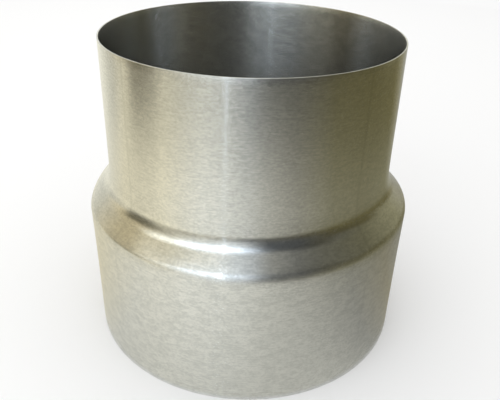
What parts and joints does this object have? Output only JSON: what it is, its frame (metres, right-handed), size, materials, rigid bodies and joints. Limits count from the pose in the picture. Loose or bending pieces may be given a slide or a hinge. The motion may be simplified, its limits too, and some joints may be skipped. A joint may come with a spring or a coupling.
{
  "type": "stove pipe extension",
  "caption": "Short tube of thin aluminised steel with a sloped shoulder that widens its lower end by one pipe size, to join a stove pipe to a larger one.",
  "frame": {"origin": "centre of the wide end's cut edge, on the surface that the tube stands on", "axes": "+Z along the tube's axis from the wide end to the narrow end, +X to the right and +Y away from the viewer of the picture"},
  "size_m": [0.1512, 0.1512, 0.1413],
  "materials": {
    "aluminised_sheet": "fire-aluminised sheet steel with fine hairlines around the tube, satin, brighter on the formed shoulder"
  },
  "bodies": {
    "root": {"extension_tube": "aluminised_sheet"}
  },
  "joints": []
}
